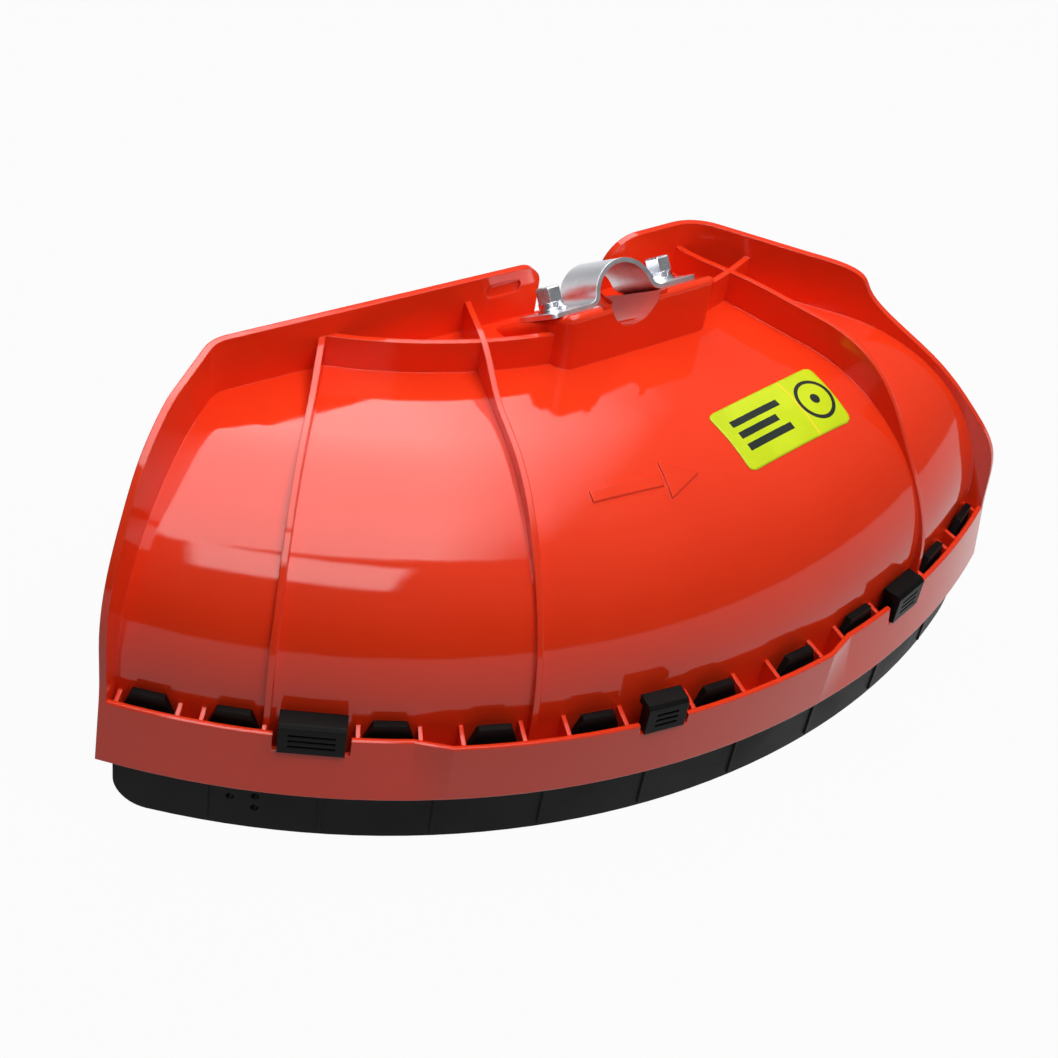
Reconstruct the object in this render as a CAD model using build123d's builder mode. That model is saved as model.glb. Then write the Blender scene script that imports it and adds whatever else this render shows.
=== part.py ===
"""Debris guard of a brushcutter: moulded shield, clip-on extension skirt and shaft clamp.

Millimetres. The origin is the middle of the shaft clamp, on the axis of the shaft tube.
X runs across the shaft, Y points along it towards the cutter head, and Z is up,
square to the rim of the guard. The rim, the ribs and the skirt are all laid out
around the upright axis of the cutter head.
"""

import os
from math import asin, cos, degrees, radians, sin, sqrt

from build123d import *

os.makedirs("parts", exist_ok=True)

# Shaft tube and how it lies over the guard
tube_diameter = 26.0
tube_fit = 0.1
shaft_lean = 38.0
head_reach = 194.5
clamp_height = 128.0
seat_drop = 2.0

# Moulded shell
shell_wall = 3.0
rim_radius = 331.0
dome_radius = 78.0
plate_height = 111.0
rim_middle = -9.0
rim_half_angle = 38.3

# Upright flange around the sides and the back
flange_wall = 3.0
flange_rise = 25.0
left_top_line = ((7.0, -70.0), (1.0, -48.5), (-14.0, -25.5), (-30.0, -9.5), (-49.0, -1.0), (-67.0, 0.0))
right_top_line = ((2.5, -72.0), (-9.0, -57.0), (-34.0, -34.5), (-69.0, -10.0), (-94.0, 0.0))
back_left_radius = 238.0
back_left_angle = -46.2
back_right_radius = 180.0
back_right_angle = 20.8
right_bend_radius = 232.7
right_bend_angle = 24.6
back_edge = 25.0
back_step = 2.5
notch_left = 21.0
notch_right = 15.0

# Ribs on top of the shell
rib_wall = 2.6
rib_pitch = 18.1
low_rib_rise = 5.5
high_rib_rise = 16.0
cross_rib_radius = 208.0
cross_rib_rise = 15.0

# Rim pocket that takes the skirt
pocket_floor = 8.0
floor_wall = 3.0
rim_wall = 2.5
rim_wall_height = 30.0
narrow_pocket = 5.6
jog_step = 4.0
jog_start_angle = 14.9
jog_end_angle = 17.3
web_wall = 1.8

# Extension skirt
skirt_wall = 3.0
skirt_gap = 0.5
seat_gap = 0.2
skirt_depth = 27.0
skirt_corner = 14.0
tab_base = 20.0
tab_top = 13.4
tab_height = 35.0
tab_angles = (4.7, 12.0, 19.0, 29.4, 35.2)
latch_angle = 24.1
latch_widths = (26.5, 18.0, 19.5)
latch_rises = (1.5, 4.2, 0.0)
latch_top = 36.0
latch_sill = 20.5
latch_gap = 0.5

# Clamp strap, screws and washers
strap_wall = 2.0
strap_width = 29.0
strap_half_length = 37.5
strap_bend = 5.0
screw_offset = 28.5
screw_diameter = 6.0
hex_flats = 10.0
head_height = 6.4
nut_height = 5.0
flat_washer_diameter = 12.4
flat_washer_wall = 1.6
spring_washer_diameter = 10.6
spring_washer_wall = 2.5

# Raised clamp block
block_front = 19.0
block_left = 33.0
block_right = 44.0
block_flare = 9.0
block_wall = 3.5
pad_wall = 9.5

# Sizes that follow from the ones above
bore_radius = tube_diameter / 2 + tube_fit
rim_base = -clamp_height
left_end = rim_middle - rim_half_angle
right_end = rim_middle + rim_half_angle
dome_centre_r = rim_radius - dome_radius
dome_centre_z = plate_height - dome_radius
narrow_inner = rim_radius + narrow_pocket
wide_inner = narrow_inner + jog_step
skirt_outer = wide_inner - jog_step * pocket_floor / rim_wall_height - skirt_gap
skirt_inner = skirt_outer - skirt_wall
flange_top = plate_height + flange_rise
cutter_axis = Axis((0, head_reach, 0), (0, 0, 1))
sweep_start = left_end - 14.0
sweep = 2 * rim_half_angle + 28.0
left_sweep = -5.0 - sweep_start
shaft_direction = (0, cos(radians(shaft_lean)), -sin(radians(shaft_lean)))
seat_normal = (0, sin(radians(shaft_lean)), cos(radians(shaft_lean)))


def polar(radius, angle):
    """Plan position at a distance and angle around the cutter head."""
    return (radius * sin(radians(angle)), head_reach - radius * cos(radians(angle)))


def radial_plane(angle):
    """Upright plane through the cutter axis: x outwards, y up from the foot of the rim."""
    out = (sin(radians(angle)), -cos(radians(angle)), 0)
    return Plane((0, head_reach, rim_base), x_dir=out, z_dir=(out[1], -out[0], 0))


def facing_plane(radius, angle):
    """Upright plane at a radius, seen from outside: x along the rim, y up, z outwards."""
    out = (sin(radians(angle)), -cos(radians(angle)), 0)
    foot = polar(radius, angle)
    return Plane((foot[0], foot[1], rim_base), x_dir=(-out[1], out[0], 0), z_dir=out)


def dome_at(rise):
    """Outer face of the dome pushed outwards by a rise, as (radius, height) points."""
    reach = dome_radius + rise
    return (dome_centre_r + reach, dome_centre_z), (dome_centre_r, dome_centre_z + reach)


seat = Plane((0, 0, 0), x_dir=(1, 0, 0), z_dir=seat_normal).offset(-seat_drop)
across_shaft = Plane((0, 0, 0), x_dir=(1, 0, 0), z_dir=tuple(-v for v in shaft_direction))
plan = Plane.XY.offset(rim_base)

# Plan outline of the shield, from the left rim end round the back to the right rim end
left_back = polar(back_left_radius, back_left_angle)
right_back = polar(back_right_radius, back_right_angle)
right_bend = polar(right_bend_radius, right_bend_angle)
left_end_point = polar(wide_inner, left_end)
right_end_point = polar(wide_inner, right_end)
left_rim = tuple(a + 0.5 * (a - b) for a, b in zip(left_end_point, left_back))
right_rim = tuple(a + 0.5 * (a - b) for a, b in zip(right_end_point, right_bend))
outline = [
    left_rim,
    left_back,
    (-notch_left / 2, back_edge - back_step / 2),
    (notch_right / 2, back_edge + back_step / 2),
    right_back,
    right_bend,
    right_rim,
    (right_rim[0], right_rim[1] - 120.0),
    (left_rim[0], right_rim[1] - 120.0),
]

# Tab, latch and rib angles around the cutter head
tabs = [rim_middle + side * a for side in (-1, 1) for a in tab_angles]
latches = [rim_middle - latch_angle, rim_middle, rim_middle + latch_angle]
ribs = [-2 * rib_pitch, -rib_pitch, rib_pitch]


def is_wide(angle):
    """Whether an angle falls in the middle stretch, where the rim wall stands upright."""
    return abs(angle - rim_middle) < jog_start_angle


def wall_inside(angle, height):
    """Inner radius of the rim wall: upright along the middle, leaning in along both ends."""
    lean = 0 if is_wide(angle) else jog_step * height / rim_wall_height
    return wide_inner - lean


def tab_inside(angle):
    """Inner radius of the tabs, which stand just inside the rim wall."""
    inset = 1.7 if is_wide(angle) else 0.9
    return wall_inside(angle, rim_wall_height) - skirt_wall - skirt_gap - inset


def rim_section(angle):
    """Floor and outer wall of the rim pocket as (radius, height) corners."""
    shelf = rim_radius - shell_wall / 2
    roof = pocket_floor + floor_wall
    return [
        (shelf, pocket_floor),
        (wall_inside(angle, pocket_floor), pocket_floor),
        (wall_inside(angle, 0), 0),
        (wall_inside(angle, 0) + rim_wall, 0),
        (wall_inside(angle, rim_wall_height) + rim_wall, rim_wall_height),
        (wall_inside(angle, rim_wall_height), rim_wall_height),
        (wall_inside(angle, roof), roof),
        (shelf, roof),
    ]


# Plan prisms: the whole shield, and the same outline drawn in by half a flange
with BuildPart() as outline_prism:
    with BuildSketch(plan.offset(-60)):
        Polygon(*outline, align=None)
        fillet(vertices().sort_by_distance((*left_back, rim_base))[0], 17.0)
        fillet(vertices().sort_by_distance((*right_back, rim_base))[0], 24.0)
        fillet(vertices().sort_by_distance((*right_bend, rim_base))[0], 60.0)
    extrude(amount=400)

with BuildPart() as inner_prism:
    with BuildSketch(plan.offset(-60)):
        Polygon(*outline, align=None)
        fillet(vertices().sort_by_distance((*left_back, rim_base))[0], 17.0)
        fillet(vertices().sort_by_distance((*right_back, rim_base))[0], 24.0)
        fillet(vertices().sort_by_distance((*right_bend, rim_base))[0], 60.0)
        offset(amount=-flange_wall / 2)
    extrude(amount=400)

# Space below the top line of the flange, which falls towards the rim on both sides
with BuildPart() as flange_space:
    for start, arc, line in (
        (sweep_start, left_sweep, left_top_line),
        (sweep_start + left_sweep, sweep - left_sweep, right_top_line),
    ):
        with BuildSketch(radial_plane(start)):
            with BuildLine():
                foot, crown = dome_at(-shell_wall / 2)
                wall = Polyline(
                    (foot[0], 0),
                    (wide_inner + rim_wall, 0),
                    (narrow_inner + rim_wall, rim_wall_height),
                )
                top = Spline(
                    wall @ 1,
                    *[(rim_radius + out, flange_top + up) for out, up in line],
                    tangents=((-jog_step, rim_wall_height), (-1, 0)),
                )
                Polyline(top @ 1, (140, (top @ 1).Y), (140, crown[1]), crown)
                CenterArc((dome_centre_r, dome_centre_z), dome_radius - shell_wall / 2, 0, 90)
                Line(foot, (foot[0], 0))
            make_face()
        revolve(axis=cutter_axis, revolution_arc=arc)

# Upright flange: a band along the outline, cut to height by its top line
with BuildPart() as flange:
    with BuildSketch(plan.offset(-60)):
        Polygon(*outline, align=None)
        fillet(vertices().sort_by_distance((*left_back, rim_base))[0], 17.0)
        fillet(vertices().sort_by_distance((*right_back, rim_base))[0], 24.0)
        fillet(vertices().sort_by_distance((*right_bend, rim_base))[0], 60.0)
        offset(amount=-flange_wall, mode=Mode.SUBTRACT)
    extrude(amount=400)
    add(flange_space.part, mode=Mode.INTERSECT)

# Radial ribs: low along the plate, taller towards the back flange
with BuildPart() as rib_set:
    for angle, rise in zip(ribs, (low_rib_rise, low_rib_rise, high_rib_rise)):
        flange_r = (head_reach - back_edge) / cos(radians(angle))
        middle = dome_radius + 3.0
        with BuildSketch(radial_plane(angle)):
            with BuildLine():
                foot, crown = dome_at(-shell_wall / 2)
                start = (rim_radius + 3.2, pocket_floor + 1)
                up = Line(start, (rim_radius + 3.2, dome_centre_z - 4))
                over = Spline(
                    up @ 1,
                    (dome_centre_r + middle * 0.7071, dome_centre_z + middle * 0.7071),
                    (dome_centre_r + 4, plate_height + rise),
                    tangents=((0, 1), (-1, 0)),
                )
                level = Line(over @ 1, (cross_rib_radius + 36, plate_height + rise))
                crest = Spline(
                    level @ 1,
                    (cross_rib_radius + 2, plate_height + cross_rib_rise),
                    (min(flange_r, cross_rib_radius) - 12, flange_top - 4),
                    tangents=((-1, 0), (-0.5, 1)),
                )
                Polyline(crest @ 1, (140, flange_top - 4), (140, crown[1]), crown)
                CenterArc((dome_centre_r, dome_centre_z), dome_radius - shell_wall / 2, 0, 90)
                Polyline(foot, (foot[0], pocket_floor + 1), start)
            make_face()
        extrude(amount=rib_wall / 2, both=True)
    add(inner_prism.part, mode=Mode.INTERSECT)

# Cross rib that follows a circle around the cutter head
with BuildPart() as cross_rib:
    with BuildSketch(radial_plane(sweep_start)):
        with Locations((cross_rib_radius, plate_height - shell_wall / 2)):
            Rectangle(rib_wall, cross_rib_rise + shell_wall / 2, align=(Align.CENTER, Align.MIN))
    revolve(axis=cutter_axis, revolution_arc=sweep)
    add(inner_prism.part, mode=Mode.INTERSECT)

# Rim pocket: floor and outer wall, stepping outwards along the middle
with BuildPart() as pocket:
    for start, end in (
        (left_end - 2, rim_middle - jog_end_angle),
        (rim_middle - jog_start_angle + 0.01, rim_middle + jog_start_angle - 0.01),
        (rim_middle + jog_end_angle, right_end + 2),
    ):
        with BuildSketch(radial_plane(start)):
            Polygon(*rim_section(start), align=None)
            chamfer(vertices().group_by(Axis.Y)[-1], 0.6)
        revolve(axis=cutter_axis, revolution_arc=end - start)
    for side in (-1, 1):
        near = rim_middle + side * (jog_start_angle - 0.01)
        far = rim_middle + side * jog_end_angle
        with BuildSketch(radial_plane(near - side * 0.05)):
            Polygon(*rim_section(near), align=None)
            chamfer(vertices().group_by(Axis.Y)[-1], 0.6)
        with BuildSketch(radial_plane(far + side * 0.05)):
            Polygon(*rim_section(far), align=None)
            chamfer(vertices().group_by(Axis.Y)[-1], 0.6)
        loft(ruled=True)
    for angle in tabs:
        for side in (-1, 1):
            web_angle = angle + side * degrees((tab_base / 2 + web_wall + 0.6) / skirt_outer)
            with BuildSketch(radial_plane(web_angle)):
                Polygon(
                    (rim_radius - shell_wall / 2, pocket_floor + 1),
                    (wall_inside(angle, pocket_floor + 1) + 1, pocket_floor + 1),
                    (wall_inside(angle, rim_wall_height) + 1, rim_wall_height - 1.5),
                    (rim_radius - shell_wall / 2, rim_wall_height + 1),
                    align=None,
                )
            extrude(amount=web_wall / 2, both=True)

# Clamp block: tapered box under the leaning seat, cored from below
block_plan = [
    (-block_left, -block_front),
    (block_right, -block_front),
    (block_right + block_flare, 30.0),
    (-block_left - block_flare - 6.0, 30.0),
]

with BuildPart() as block:
    with BuildSketch(plan.offset(plate_height - shell_wall)):
        Polygon(*block_plan, align=None)
        fillet(vertices().sort_by(Axis.Y)[:2], 7.0)
    extrude(amount=80)
    split(bisect_by=seat, keep=Keep.BOTTOM)
    fillet(edges().filter_by(Axis.X).sort_by(Axis.Z)[-1:], 2.5)

with BuildPart() as block_core:
    with BuildSketch(plan.offset(plate_height - 40)):
        Polygon(*block_plan, align=None)
        fillet(vertices().sort_by(Axis.Y)[:2], 7.0)
        offset(amount=-block_wall)
    extrude(amount=120)
    split(bisect_by=seat.offset(-pad_wall), keep=Keep.BOTTOM)

with BuildPart() as trough:
    with BuildSketch(across_shaft.offset(-90)):
        Circle(bore_radius + block_wall)
    extrude(amount=130)
    split(bisect_by=seat, keep=Keep.BOTTOM)
    with BuildSketch(plan.offset(-60)):
        with Locations((0, -block_front + 1)):
            Rectangle(80, 90, align=(Align.CENTER, Align.MIN))
    extrude(amount=400, mode=Mode.INTERSECT)

# Raised arrow that shows which way the cutter turns
with BuildPart() as arrow:
    arrow_mid = polar(284.0, -7.6)
    along = (cos(radians(-7.6)), sin(radians(-7.6)), 0)
    with BuildSketch(Plane((*arrow_mid, rim_base), x_dir=along)):
        with Locations((-9, 0)):
            Rectangle(32, 4.6)
        Polygon((8.6, -7.5), (24, 0), (8.6, 7.5), align=None)
    extrude(amount=200)
    with BuildSketch(radial_plane(sweep_start)):
        with BuildLine():
            low = dome_radius - 1.0
            high = dome_radius + 0.8
            CenterArc((dome_centre_r, dome_centre_z), low, 0, 90)
            Line((dome_centre_r, dome_centre_z + low), (dome_centre_r, dome_centre_z + high))
            CenterArc((dome_centre_r, dome_centre_z), high, 0, 90)
            Line((dome_centre_r + high, dome_centre_z), (dome_centre_r + low, dome_centre_z))
        make_face()
    revolve(axis=cutter_axis, revolution_arc=sweep, mode=Mode.INTERSECT)

# The moulded shield
with BuildPart() as guard_shield:
    with BuildSketch(radial_plane(sweep_start)):
        with BuildLine():
            wall_top, crown = dome_at(0)
            under_top, under_crown = dome_at(-shell_wall)
            CenterArc((dome_centre_r, dome_centre_z), dome_radius, 0, 90)
            Polyline(crown, (140, plate_height), (140, plate_height - shell_wall), under_crown)
            CenterArc((dome_centre_r, dome_centre_z), dome_radius - shell_wall, 0, 90)
            Polyline(under_top, (under_top[0], pocket_floor), (wall_top[0], pocket_floor), wall_top)
        make_face()
    revolve(axis=cutter_axis, revolution_arc=sweep)
    add(pocket.part)
    add(rib_set.part)
    add(cross_rib.part)
    add(arrow.part)
    add(outline_prism.part, mode=Mode.INTERSECT)
    add(flange.part)
    add(block.part)
    add(block_core.part, mode=Mode.SUBTRACT)
    add(trough.part)
    add(outline_prism.part, mode=Mode.INTERSECT)
    # Slots for the tabs, slots and windows for the latches
    for angle in tabs:
        with BuildSketch(facing_plane(tab_inside(angle) - skirt_gap, angle)):
            with Locations((0, pocket_floor + floor_wall / 2)):
                Rectangle(tab_base + 2 * skirt_gap, floor_wall + 2)
        extrude(amount=skirt_wall + 2 * skirt_gap, mode=Mode.SUBTRACT)
    for angle, width, rise in zip(latches, latch_widths, latch_rises):
        with BuildSketch(facing_plane(tab_inside(angle) - skirt_gap, angle)):
            with Locations((0, pocket_floor + floor_wall / 2)):
                Rectangle(width - 4 + 2 * skirt_gap, floor_wall + 2)
        extrude(amount=skirt_wall + 2 * skirt_gap, mode=Mode.SUBTRACT)
        with BuildSketch(facing_plane(wall_inside(angle, rim_wall_height) - 1.5, angle)):
            with Locations((0, latch_sill + rise)):
                Rectangle(width + 4, 40, align=(Align.CENTER, Align.MIN))
        extrude(amount=rim_wall + 6, mode=Mode.SUBTRACT)
    # Saddle for the tube, and the notch that lets it out through the back flange
    with BuildSketch(across_shaft.offset(-150)):
        Circle(bore_radius)
    extrude(amount=240, mode=Mode.SUBTRACT)
    with BuildSketch(Plane.XZ.offset(-10)):
        with BuildLine():
            floor = rim_base + plate_height - 2
            top = rim_base + flange_top
            Polyline((-notch_left, floor), (-notch_left, top - 9))
            RadiusArc((-notch_left, top - 9), (-notch_left - 9, top), -9)
            Polyline((-notch_left - 9, top), (-notch_left - 9, top + 20), (notch_right + 17, top + 20))
            Line((notch_right + 17, top + 20), (notch_right + 17, top))
            RadiusArc((notch_right + 17, top), (notch_right, top - 17), -17)
            Polyline((notch_right, top - 17), (notch_right, floor), (-notch_left, floor))
        make_face()
    extrude(amount=-40, mode=Mode.SUBTRACT)
    # Screw holes and nut pockets in the seat
    with BuildSketch(seat.offset(5)):
        with Locations((-screw_offset, 0), (screw_offset, 0)):
            Circle(screw_diameter / 2 + 0.3)
    extrude(amount=-pad_wall - 10, mode=Mode.SUBTRACT)
    with BuildSketch(seat.offset(-pad_wall + nut_height)):
        with Locations((-screw_offset, 0), (screw_offset, 0)):
            RegularPolygon(hex_flats / 2 + 0.1, 6, major_radius=False)
    extrude(amount=-nut_height - 4, mode=Mode.SUBTRACT)
    # Shallow recess in the back flange, left of the notch
    recess_depth = back_edge - back_step / 2 - flange_wall + 2.3
    with BuildSketch(Plane.XZ):
        with Locations((-notch_left - 18, rim_base + plate_height + 17)):
            SlotOverall(17, 7)
    extrude(amount=-recess_depth, mode=Mode.SUBTRACT)

guard_shield.part.label = "guard_shield"
export_step(guard_shield.part, "parts/guard_shield.step")

# Extension skirt: curved wall with tabs, latches, stiffening beads and blade holes
with BuildPart() as extension_skirt:
    end_inset = degrees((flange_wall + 2.5) / skirt_inner)
    skirt_start = left_end + end_inset
    skirt_end = right_end - end_inset
    ledge_inner = rim_radius - 1.0
    with BuildSketch(radial_plane(skirt_start)):
        Polygon(
            (skirt_inner, -skirt_depth),
            (skirt_outer, -skirt_depth),
            (skirt_outer, pocket_floor - seat_gap),
            (skirt_inner, pocket_floor - seat_gap),
            align=None,
        )
    revolve(axis=cutter_axis, revolution_arc=skirt_end - skirt_start)
    ends = edges().filter_by(lambda e: e.length < skirt_wall + 0.1).group_by(Axis.Z)[0]
    fillet(ends, skirt_corner)
    for start, end, top in (
        (skirt_start, skirt_end, pocket_floor - seat_gap),
        (rim_middle - jog_start_angle + 2, rim_middle + jog_start_angle - 2, pocket_floor),
    ):
        with BuildSketch(radial_plane(start)):
            with Locations((ledge_inner, top)):
                Rectangle(skirt_inner - ledge_inner + 1, skirt_wall, align=(Align.MIN, Align.MAX))
        revolve(axis=cutter_axis, revolution_arc=end - start)
    for bead in range(-4, 5):
        with BuildSketch(radial_plane(rim_middle + bead * 7.7)):
            with Locations((skirt_outer - 0.5, -skirt_depth + 2)):
                Rectangle(1.2, skirt_depth - 4, align=(Align.MIN, Align.MIN))
        extrude(amount=0.7, both=True)
    for angle in tabs:
        with BuildSketch(facing_plane(tab_inside(angle), angle)):
            Polygon(
                (-tab_base / 2, pocket_floor - 2),
                (tab_base / 2, pocket_floor - 2),
                (tab_base / 2, tab_height - 9),
                (tab_top / 2, tab_height),
                (-tab_top / 2, tab_height),
                (-tab_base / 2, tab_height - 9),
                align=None,
            )
        extrude(amount=skirt_wall)
    for angle, width, rise in zip(latches, latch_widths, latch_rises):
        sill = latch_sill + rise
        crest = latch_top + rise
        face = wall_inside(angle, sill) + rim_wall + 0.8
        with BuildSketch(facing_plane(tab_inside(angle), angle)):
            with Locations((0, pocket_floor - 2)):
                Rectangle(width - 4, crest - pocket_floor + 2, align=(Align.CENTER, Align.MIN))
        extrude(amount=skirt_wall)
        with BuildSketch(radial_plane(angle)):
            Polygon(
                (tab_inside(angle), crest - 4),
                (face - 3.5, crest - 4),
                (face - 3.5, sill + latch_gap),
                (face, sill + latch_gap),
                (face, crest - 1.5),
                (face - 1.5, crest),
                (tab_inside(angle), crest),
                align=None,
            )
        extrude(amount=width / 2, both=True)
        for groove in range(3):
            with BuildSketch(facing_plane(face - 0.9, angle)):
                with Locations((0, sill + 4.4 + groove * 3.0)):
                    Rectangle(width - 8, 1.3)
            extrude(amount=4, mode=Mode.SUBTRACT)
    for angle, height in ((-29.25, -9.5), (-27.55, -7.5), (-27.55, -14.5)):
        with BuildSketch(facing_plane(skirt_inner - 5, rim_middle + angle)):
            with Locations((0, height)):
                Circle(1.8)
        extrude(amount=20, mode=Mode.SUBTRACT)

# Clamp strap: half-round arch that bends out into two flat feet
with BuildPart() as shaft_clamp:
    arch = bore_radius + strap_wall / 2
    foot_line = strap_wall / 2 - seat_drop
    bend_y = foot_line + strap_bend
    bend_x = sqrt((arch + strap_bend) ** 2 - bend_y ** 2)
    spring = degrees(asin(bend_y / (arch + strap_bend)))
    with BuildSketch(across_shaft):
        with BuildLine():
            Line((-strap_half_length, foot_line), (-bend_x, foot_line))
            CenterArc((-bend_x, bend_y), strap_bend, 270, 90 - spring)
            CenterArc((0, 0), arch, spring, 180 - 2 * spring)
            CenterArc((bend_x, bend_y), strap_bend, 180 + spring, 90 - spring)
            Line((bend_x, foot_line), (strap_half_length, foot_line))
        trace(line_width=strap_wall)
    extrude(amount=strap_width / 2, both=True)
    with BuildSketch(seat):
        with Locations((-screw_offset, 0), (screw_offset, 0)):
            Circle(screw_diameter / 2 + 0.3)
    extrude(amount=strap_wall + 2, mode=Mode.SUBTRACT)
    tips = edges().filter_by(lambda e: abs(abs(e.center().X) - strap_half_length) < 0.01)
    fillet(tips.filter_by(lambda e: abs(e.length - strap_wall) < 0.01), 3.0)

# Flat washers, spring washers, screws and nuts, one of each on either side
washer_seat = seat.offset(strap_wall)
spring_seat = washer_seat.offset(flat_washer_wall)
head_seat = spring_seat.offset(spring_washer_wall)
shank = strap_wall + flat_washer_wall + spring_washer_wall + pad_wall

with BuildPart() as flat_washers:
    with BuildSketch(washer_seat):
        with Locations((-screw_offset, 0), (screw_offset, 0)):
            Circle(flat_washer_diameter / 2)
            Circle(screw_diameter / 2 + 0.2, mode=Mode.SUBTRACT)
    extrude(amount=flat_washer_wall)

with BuildPart() as spring_washers:
    with BuildSketch(spring_seat):
        with Locations((-screw_offset, 0), (screw_offset, 0)):
            Circle(spring_washer_diameter / 2)
            Circle(screw_diameter / 2 + 0.15, mode=Mode.SUBTRACT)
    extrude(amount=spring_washer_wall)
    for x in (-screw_offset, screw_offset):
        middle = spring_seat.from_local_coords((x, 0, spring_washer_wall / 2))
        with BuildSketch(Plane(middle, x_dir=(1, 0, 0), z_dir=shaft_direction)):
            Rectangle(1.0, 4 * spring_washer_wall, rotation=28)
        extrude(amount=-spring_washer_diameter, mode=Mode.SUBTRACT)

with BuildPart() as clamp_screws:
    with BuildSketch(head_seat):
        with Locations((-screw_offset, 0), (screw_offset, 0)):
            RegularPolygon(hex_flats / 2, 6, major_radius=False)
    extrude(amount=head_height)
    chamfer(faces().filter_by(lambda f: f.normal_at().dot(Vector(*seat_normal)) > 0.99).edges(), 0.6)
    with BuildSketch(head_seat):
        with Locations((-screw_offset, 0), (screw_offset, 0)):
            Circle(screw_diameter / 2)
    extrude(amount=-shank)

with BuildPart() as clamp_nuts:
    with BuildSketch(seat.offset(-pad_wall)):
        with Locations((-screw_offset, 0), (screw_offset, 0)):
            RegularPolygon(hex_flats / 2, 6, major_radius=False)
            Circle(screw_diameter / 2, mode=Mode.SUBTRACT)
    extrude(amount=nut_height)

extension_skirt.part.label = "extension_skirt"
export_step(extension_skirt.part, "parts/extension_skirt.step")
shaft_clamp.part.label = "shaft_clamp"
export_step(shaft_clamp.part, "parts/shaft_clamp.step")
flat_washers.part.label = "flat_washers"
export_step(flat_washers.part, "parts/flat_washers.step")
spring_washers.part.label = "spring_washers"
export_step(spring_washers.part, "parts/spring_washers.step")
clamp_screws.part.label = "clamp_screws"
export_step(clamp_screws.part, "parts/clamp_screws.step")
clamp_nuts.part.label = "clamp_nuts"
export_step(clamp_nuts.part, "parts/clamp_nuts.step")
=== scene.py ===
"""Debris guard of a brushcutter: materials, printed label, studio light and camera."""

import math

import bpy
from mathutils import Matrix, Vector


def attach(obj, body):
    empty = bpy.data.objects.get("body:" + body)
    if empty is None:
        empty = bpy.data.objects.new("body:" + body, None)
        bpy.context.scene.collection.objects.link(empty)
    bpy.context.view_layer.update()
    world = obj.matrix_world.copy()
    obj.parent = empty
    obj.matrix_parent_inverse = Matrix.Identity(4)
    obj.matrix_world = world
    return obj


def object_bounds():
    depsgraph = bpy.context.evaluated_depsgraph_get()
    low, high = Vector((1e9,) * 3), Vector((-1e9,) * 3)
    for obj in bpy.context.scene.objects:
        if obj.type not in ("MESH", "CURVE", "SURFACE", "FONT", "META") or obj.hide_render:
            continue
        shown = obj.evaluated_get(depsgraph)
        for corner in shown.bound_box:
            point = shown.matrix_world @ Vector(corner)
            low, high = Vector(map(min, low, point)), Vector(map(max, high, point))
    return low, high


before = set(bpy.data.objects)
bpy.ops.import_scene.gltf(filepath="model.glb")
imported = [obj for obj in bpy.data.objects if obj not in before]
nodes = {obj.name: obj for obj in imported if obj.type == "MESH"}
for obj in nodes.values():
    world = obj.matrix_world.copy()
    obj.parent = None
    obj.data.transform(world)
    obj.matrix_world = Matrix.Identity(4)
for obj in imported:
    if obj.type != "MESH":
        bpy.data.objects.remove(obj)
cad_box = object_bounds()
scene = bpy.context.scene
scene.view_settings.view_transform = "Standard"


# Node helpers

def material(name):
    """A new node material: returns it with its node tree and its Principled shader."""
    made = bpy.data.materials.new(name)
    made.use_nodes = True
    tree = made.node_tree
    return made, tree, tree.nodes["Principled BSDF"]


def add(tree, kind, **values):
    node = tree.nodes.new("ShaderNode" + kind)
    for key, value in values.items():
        setattr(node, key, value)
    return node


def put(tree, value, socket):
    """Links an output socket, or sets a plain value."""
    if isinstance(value, bpy.types.NodeSocket):
        tree.links.new(value, socket)
    else:
        socket.default_value = value


def math_node(tree, operation, a, b=0.0, c=0.0):
    node = add(tree, "Math", operation=operation)
    for value, socket in zip((a, b, c), node.inputs):
        put(tree, value, socket)
    return node.outputs[0]


def noise(tree, coords, scale, detail=3.0, roughness=0.5, stretch=None):
    """Noise in the object's own metres, optionally stretched along its axes."""
    if stretch:
        mapping = add(tree, "Mapping")
        mapping.inputs["Scale"].default_value = stretch
        tree.links.new(coords, mapping.inputs["Vector"])
        coords = mapping.outputs["Vector"]
    node = add(tree, "TexNoise")
    node.inputs["Scale"].default_value = scale
    node.inputs["Detail"].default_value = detail
    node.inputs["Roughness"].default_value = roughness
    tree.links.new(coords, node.inputs["Vector"])
    return node.outputs["Fac"]


def ramp(tree, fac, stops):
    node = add(tree, "ValToRGB")
    elements = node.color_ramp.elements
    while len(elements) < len(stops):
        elements.new(0.5)
    for element, (place, colour) in zip(elements, stops):
        element.position = place
        element.color = (*colour, 1.0)
    tree.links.new(fac, node.inputs["Fac"])
    return node.outputs["Color"]


def span(tree, fac, low, high, start=0.3, end=0.7):
    node = add(tree, "MapRange")
    put(tree, fac, node.inputs["Value"])
    for name, value in (("From Min", start), ("From Max", end), ("To Min", low), ("To Max", high)):
        node.inputs[name].default_value = value
    return node.outputs["Result"]


def bump(tree, height, strength, distance, normal=None):
    node = add(tree, "Bump")
    node.inputs["Strength"].default_value = strength
    node.inputs["Distance"].default_value = distance
    tree.links.new(height, node.inputs["Height"])
    if normal is not None:
        tree.links.new(normal, node.inputs["Normal"])
    return node.outputs["Normal"]


def soft_edges(tree, radius):
    node = add(tree, "Bevel", samples=4)
    node.inputs["Radius"].default_value = radius
    return node.outputs["Normal"]


# Materials

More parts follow.
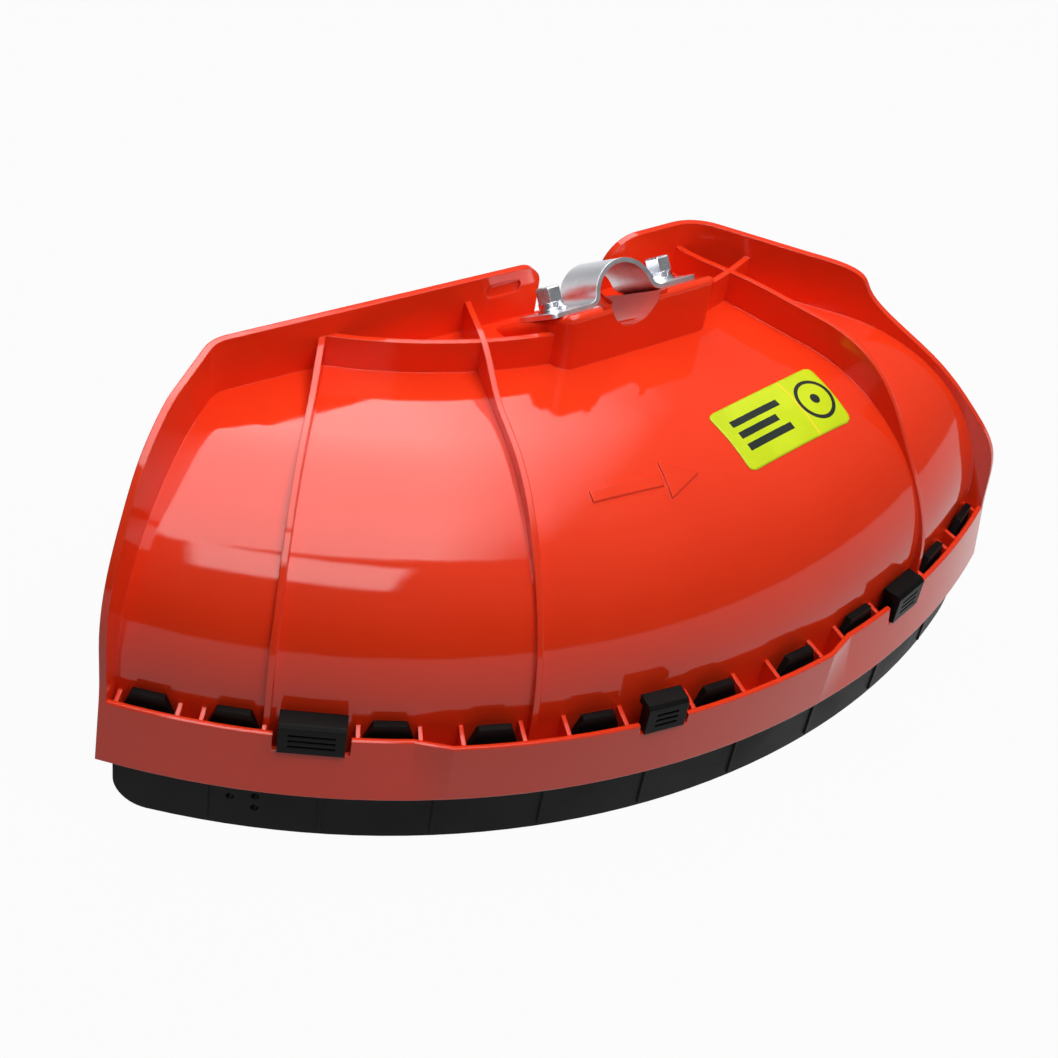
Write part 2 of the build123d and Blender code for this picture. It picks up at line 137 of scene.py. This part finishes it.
def orange_plastic():
    """Glossy moulded polypropylene, with a faint flow pattern and moulding ripple."""
    made, tree, shader = material("orange_plastic")
    coords = add(tree, "TexCoord").outputs["Object"]
    flow = noise(tree, coords, 9.0, 4.0, 0.55)
    colour = ramp(tree, flow, [(0.30, (0.76, 0.035, 0.007)), (0.70, (0.83, 0.043, 0.010))])
    tree.links.new(colour, shader.inputs["Base Color"])
    patch = noise(tree, coords, 26.0, 5.0, 0.6)
    tree.links.new(span(tree, patch, 0.035, 0.085), shader.inputs["Roughness"])
    edges = soft_edges(tree, 0.0007)
    ripple = bump(tree, noise(tree, coords, 34.0, 2.0), 0.05, 0.002, edges)
    grain = bump(tree, noise(tree, coords, 2600.0, 2.0), 0.03, 0.0002, ripple)
    tree.links.new(grain, shader.inputs["Normal"])
    shader.inputs["Specular IOR Level"].default_value = 0.33
    return made


def black_plastic():
    """Satin black polypropylene with fine spark texture and rubbed, slightly greyer patches."""
    made, tree, shader = material("black_plastic")
    coords = add(tree, "TexCoord").outputs["Object"]
    cloud = noise(tree, coords, 30.0, 5.0, 0.6)
    colour = ramp(tree, cloud, [(0.30, (0.0026, 0.0025, 0.0025)), (0.75, (0.0058, 0.0055, 0.0053))])
    tree.links.new(colour, shader.inputs["Base Color"])
    tree.links.new(span(tree, cloud, 0.40, 0.56), shader.inputs["Roughness"])
    edges = soft_edges(tree, 0.0006)
    spark = bump(tree, noise(tree, coords, 1700.0, 3.0, 0.6), 0.12, 0.0003, edges)
    tree.links.new(spark, shader.inputs["Normal"])
    shader.inputs["Specular IOR Level"].default_value = 0.08
    return made


def zinc_plate(name, low, high, stretch, tint):
    """Bright zinc plate: mottled spangle, drawn lines and a slightly blue passivation."""
    made, tree, shader = material(name)
    coords = add(tree, "TexCoord").outputs["Object"]
    spangle = noise(tree, coords, 160.0, 4.0, 0.6)
    colour = ramp(tree, spangle, [(0.25, tuple(0.86 * v for v in tint)), (0.75, tint)])
    tree.links.new(colour, shader.inputs["Base Color"])
    shader.inputs["Metallic"].default_value = 1.0
    tree.links.new(span(tree, spangle, low, high), shader.inputs["Roughness"])
    lines = noise(tree, coords, 420.0, 4.0, 0.7, stretch)
    edges = soft_edges(tree, 0.0004)
    drawn = bump(tree, lines, 0.10, 0.0002, edges)
    tree.links.new(bump(tree, spangle, 0.06, 0.0004, drawn), shader.inputs["Normal"])
    return made


def label_print():
    """Lime vinyl film in two panels, printed with plain bars and a plain ring."""
    made, tree, shader = material("label_film")
    texture = add(tree, "UVMap", uv_map="label_map")
    parts = add(tree, "SeparateXYZ")
    tree.links.new(texture.outputs["UV"], parts.inputs["Vector"])
    x, y = parts.outputs["X"], parts.outputs["Y"]

    def inside(value, centre, half):
        off = math_node(tree, "ABSOLUTE", math_node(tree, "SUBTRACT", value, centre))
        return math_node(tree, "LESS_THAN", off, half)

    ink = None
    for left, right, height in ((0.10, 0.55, 0.70), (0.10, 0.46, 0.50), (0.10, 0.52, 0.30)):
        bar = math_node(
            tree, "MULTIPLY", inside(x, (left + right) / 2, (right - left) / 2), inside(y, height, 0.055)
        )
        ink = bar if ink is None else math_node(tree, "MAXIMUM", ink, bar)
    across = math_node(tree, "MULTIPLY", math_node(tree, "SUBTRACT", x, 0.835), LABEL_W / LABEL_H)
    up = math_node(tree, "SUBTRACT", y, 0.5)
    across_squared = math_node(tree, "POWER", across, 2.0)
    up_squared = math_node(tree, "POWER", up, 2.0)
    reach = math_node(tree, "SQRT", math_node(tree, "ADD", across_squared, up_squared))
    for radius, half in ((0.30, 0.03), (0.0, 0.08)):
        ink = math_node(tree, "MAXIMUM", ink, inside(reach, radius, half))
    divide = inside(x, 0.677, 0.006)

    coords = add(tree, "TexCoord").outputs["Object"]
    fade = noise(tree, coords, 60.0, 4.0)
    film = ramp(tree, fade, [(0.3, (0.50, 0.62, 0.006)), (0.7, (0.58, 0.70, 0.010))])
    lined = add(tree, "Mix", data_type="RGBA")
    put(tree, divide, lined.inputs[0])
    put(tree, film, lined.inputs[6])
    lined.inputs[7].default_value = (0.90, 0.62, 0.03, 1.0)
    printed = add(tree, "Mix", data_type="RGBA")
    put(tree, ink, printed.inputs[0])
    put(tree, lined.outputs[2], printed.inputs[6])
    printed.inputs[7].default_value = (0.016, 0.022, 0.018, 1.0)
    tree.links.new(printed.outputs[2], shader.inputs["Base Color"])
    tree.links.new(span(tree, fade, 0.28, 0.42), shader.inputs["Roughness"])
    shader.inputs["Specular IOR Level"].default_value = 0.2
    tree.links.new(bump(tree, noise(tree, coords, 900.0, 2.0), 0.05, 0.0002), shader.inputs["Normal"])
    return made


def dress(name, made):
    piece = nodes[name]
    piece.data.materials.clear()
    piece.data.materials.append(made)


dress("guard_shield", orange_plastic())
dress("extension_skirt", black_plastic())
dress("shaft_clamp", zinc_plate("zinc_strap", 0.26, 0.40, (1.0, 0.12, 0.12), (0.74, 0.75, 0.79)))
bright_zinc = zinc_plate("zinc_fasteners", 0.18, 0.32, (1.0, 1.0, 0.2), (0.74, 0.76, 0.80))
for fastener in ("flat_washers", "spring_washers", "clamp_screws", "clamp_nuts"):
    dress(fastener, bright_zinc)


# Printed label on the dome, in metres around the cutter axis

HEAD_REACH = 0.1945
DOME_R, DOME_CENTRE_R, DOME_CENTRE_Z = 0.078, 0.253, -0.095
LABEL_W, LABEL_H, LABEL_CORNER = 0.063, 0.029, 0.003
LABEL_RADIUS, LABEL_TURN = 0.275, math.radians(8.2)
LABEL_LIFT, LABEL_FILM = 0.00028, 0.0002


def on_dome(x, y, lift):
    """Height of the shell's outer face above a plan point, raised along its normal by a lift."""
    radius = math.hypot(x, y - HEAD_REACH)
    out = max(0.0, radius - DOME_CENTRE_R)
    up = math.sqrt(DOME_R ** 2 - out ** 2)
    grow = lift / DOME_R
    away = out * grow / radius
    return Vector((x + x * away, y + (y - HEAD_REACH) * away, DOME_CENTRE_Z + up * (1 + grow)))


def make_label():
    columns, rows = 56, 28
    middle = Vector((
        LABEL_RADIUS * math.sin(LABEL_TURN),
        HEAD_REACH - LABEL_RADIUS * math.cos(LABEL_TURN),
    ))
    along = Vector((math.cos(LABEL_TURN), math.sin(LABEL_TURN)))
    upward = Vector((-along.y, along.x))
    points, faces, spots = [], [], []
    for j in range(rows + 1):
        v = -LABEL_H / 2 + LABEL_H * j / rows
        past = max(0.0, abs(v) - (LABEL_H / 2 - LABEL_CORNER))
        half = LABEL_W / 2 - LABEL_CORNER + math.sqrt(max(0.0, LABEL_CORNER ** 2 - past ** 2))
        for i in range(columns + 1):
            u = -half + 2 * half * i / columns
            place = middle + u * along + v * upward
            points.append(on_dome(place.x, place.y, LABEL_LIFT))
            spots.append((u / LABEL_W + 0.5, v / LABEL_H + 0.5))
    for j in range(rows):
        for i in range(columns):
            a = j * (columns + 1) + i
            faces.append((a, a + 1, a + columns + 2, a + columns + 1))
    mesh = bpy.data.meshes.new("label_sheet")
    mesh.from_pydata(points, [], faces)
    layer = mesh.uv_layers.new(name="label_map")
    for loop in mesh.loops:
        layer.data[loop.index].uv = spots[loop.vertex_index]
    mesh.shade_smooth()
    piece = bpy.data.objects.new("label_sheet", mesh)
    scene.collection.objects.link(piece)
    film = piece.modifiers.new("film", "SOLIDIFY")
    film.thickness = LABEL_FILM
    film.offset = -1.0
    mesh.materials.append(label_print())
    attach(piece, "root")


make_label()


# Studio: pale floor, dim surrounding shell, two overhead panels and three lamps

FLOOR_Z = cad_box[0][2] - 0.0005
FLOOR_REACH = 3.0
FLOOR_WHITE = 0.96
SHELL_RADIUS = 2.8
PANEL_TURN = math.radians(27.0)


def emitter(name, strength):
    made = bpy.data.materials.new(name)
    made.use_nodes = True
    tree = made.node_tree
    tree.nodes.clear()
    out = add(tree, "OutputMaterial")
    glow = add(tree, "Emission")
    tree.links.new(glow.outputs["Emission"], out.inputs["Surface"])
    put(tree, strength(tree), glow.inputs["Strength"])
    return made


def sheet_object(name, corners, made):
    mesh = bpy.data.meshes.new(name)
    mesh.from_pydata(corners, [], [tuple(range(len(corners)))])
    layer = mesh.uv_layers.new(name="UVMap")
    for loop, spot in zip(mesh.loops, ((0, 0), (1, 0), (1, 1), (0, 1))):
        layer.data[loop.index].uv = spot
    mesh.materials.append(made)
    piece = bpy.data.objects.new(name, mesh)
    scene.collection.objects.link(piece)
    return piece


def floor_material():
    made = bpy.data.materials.new("floor")
    made.use_nodes = True
    tree = made.node_tree
    tree.nodes.clear()
    out = add(tree, "OutputMaterial")
    matt = add(tree, "BsdfDiffuse")
    matt.inputs["Color"].default_value = (0.30, 0.30, 0.30, 1.0)
    glow = add(tree, "Emission")
    glow.inputs["Strength"].default_value = 1.0
    path = add(tree, "LightPath")
    seen = math_node(tree, "ADD", path.outputs["Is Camera Ray"], path.outputs["Is Glossy Ray"])
    seen = math_node(tree, "ADD", seen, path.outputs["Is Transmission Ray"])
    share = math_node(tree, "MULTIPLY", math_node(tree, "MINIMUM", seen, 1.0), FLOOR_WHITE)
    mix = add(tree, "MixShader")
    tree.links.new(share, mix.inputs["Fac"])
    tree.links.new(matt.outputs["BSDF"], mix.inputs[1])
    tree.links.new(glow.outputs["Emission"], mix.inputs[2])
    tree.links.new(mix.outputs["Shader"], out.inputs["Surface"])
    return made


sheet_object(
    "floor",
    [(x * FLOOR_REACH, y * FLOOR_REACH, FLOOR_Z) for x, y in ((-1, -1), (1, -1), (1, 1), (-1, 1))],
    floor_material(),
)


def shell_glow(tree):
    """Dim studio walls: darker at the front horizon, brighter to the right and overhead."""
    parts = add(tree, "SeparateXYZ")
    tree.links.new(add(tree, "TexCoord").outputs["Object"], parts.inputs["Vector"])
    right = span(tree, parts.outputs["X"], 0.0, 0.12, -0.5, 2.6)
    high = span(tree, parts.outputs["Z"], 0.0, 0.34, 0.6, 2.4)
    return math_node(tree, "ADD", math_node(tree, "ADD", right, high), 0.02)


def make_shell():
    bpy.ops.mesh.primitive_uv_sphere_add(segments=48, ring_count=24, radius=SHELL_RADIUS)
    shell = bpy.context.object
    shell.name = "studio_shell"
    shell.data.materials.append(emitter("studio_shell", shell_glow))
    shell.visible_camera = False
    shell.visible_shadow = False


make_shell()


def panel_glow(tree, strength):
    """Overhead panel, even across most of its width and fading out along its right edge."""
    parts = add(tree, "SeparateXYZ")
    tree.links.new(add(tree, "UVMap", uv_map="UVMap").outputs["UV"], parts.inputs["Vector"])
    return span(tree, parts.outputs["X"], strength, strength / 12, 0.72, 1.0)


def overhead(name, strength, right, length_low, length_high, left, height, turn):
    across = Vector((math.cos(turn), -math.sin(turn), 0))
    along = Vector((math.sin(turn), math.cos(turn), 0))
    rise = Vector((0, 0, height))
    corners = [
        rise + left * across + length_low * along,
        rise + right * across + length_low * along,
        rise + right * across + length_high * along,
        rise + left * across + length_high * along,
    ]
    panel = sheet_object(name, corners, emitter(name, lambda tree: panel_glow(tree, strength)))
    panel.visible_camera = False
    return panel


# The first panel lights the plastic, and the second is only seen in its gloss
lit = overhead("overhead_panel", 1.8, 0.75, 0.05, 1.30, -0.72, 1.02, PANEL_TURN)
lit.visible_glossy = False
lit.visible_shadow = False
mirrored = overhead("overhead_mirrored", 6.4, 0.42, -0.78, 1.30, -0.72, 1.0, PANEL_TURN)
mirrored.visible_diffuse = False
mirrored.visible_shadow = False


def area_lamp(name, place, target, width, height, power, glossy=True, diffuse=True):
    lamp = bpy.data.lights.new(name, "AREA")
    lamp.shape = "RECTANGLE"
    lamp.size = width
    lamp.size_y = height
    lamp.energy = power
    holder = bpy.data.objects.new(name, lamp)
    holder.location = place
    aim = Vector(target) - Vector(place)
    holder.rotation_euler = aim.to_track_quat("-Z", "Y").to_euler()
    holder.visible_camera = False
    holder.visible_glossy = glossy
    holder.visible_diffuse = diffuse
    scene.collection.objects.link(holder)


area_lamp("front_strip", (-0.67, -0.66, 0.81), (-0.17, -0.06, -0.04), 0.64, 0.30, 3.9, diffuse=False)
area_lamp("front_key", (0.05, -0.48, 1.45), (0.0, -0.06, -0.06), 0.9, 0.6, 18.0, glossy=False)
area_lamp("right_fill", (1.3, -0.9, 0.7), (0.0, -0.05, -0.06), 1.2, 1.0, 1.0, glossy=False)

world = bpy.data.worlds.new("world")
scene.world = world
world.use_nodes = True
world.node_tree.nodes["Background"].inputs["Color"].default_value = (1.0, 1.0, 1.0, 1.0)
world.node_tree.nodes["Background"].inputs["Strength"].default_value = 1.0


# Camera

camera_data = bpy.data.cameras.new("camera")
camera_data.sensor_fit = "HORIZONTAL"
camera_data.sensor_width = 36.0
camera_data.lens = 68.053
camera_data.clip_start = 0.01
camera = bpy.data.objects.new("camera", camera_data)
scene.collection.objects.link(camera)
right_axis = Vector((0.82672342, -0.54648183, 0.13373852))
up_axis = Vector((0.28481261, 0.61152178, 0.73818892))
back_axis = Vector((-0.48519085, -0.57218766, 0.6612043))
place = Matrix((right_axis, up_axis, back_axis)).transposed().to_4x4()
place.translation = Vector((-0.46768755, -0.52795299, 0.48381552))
camera.matrix_world = place
scene.camera = camera
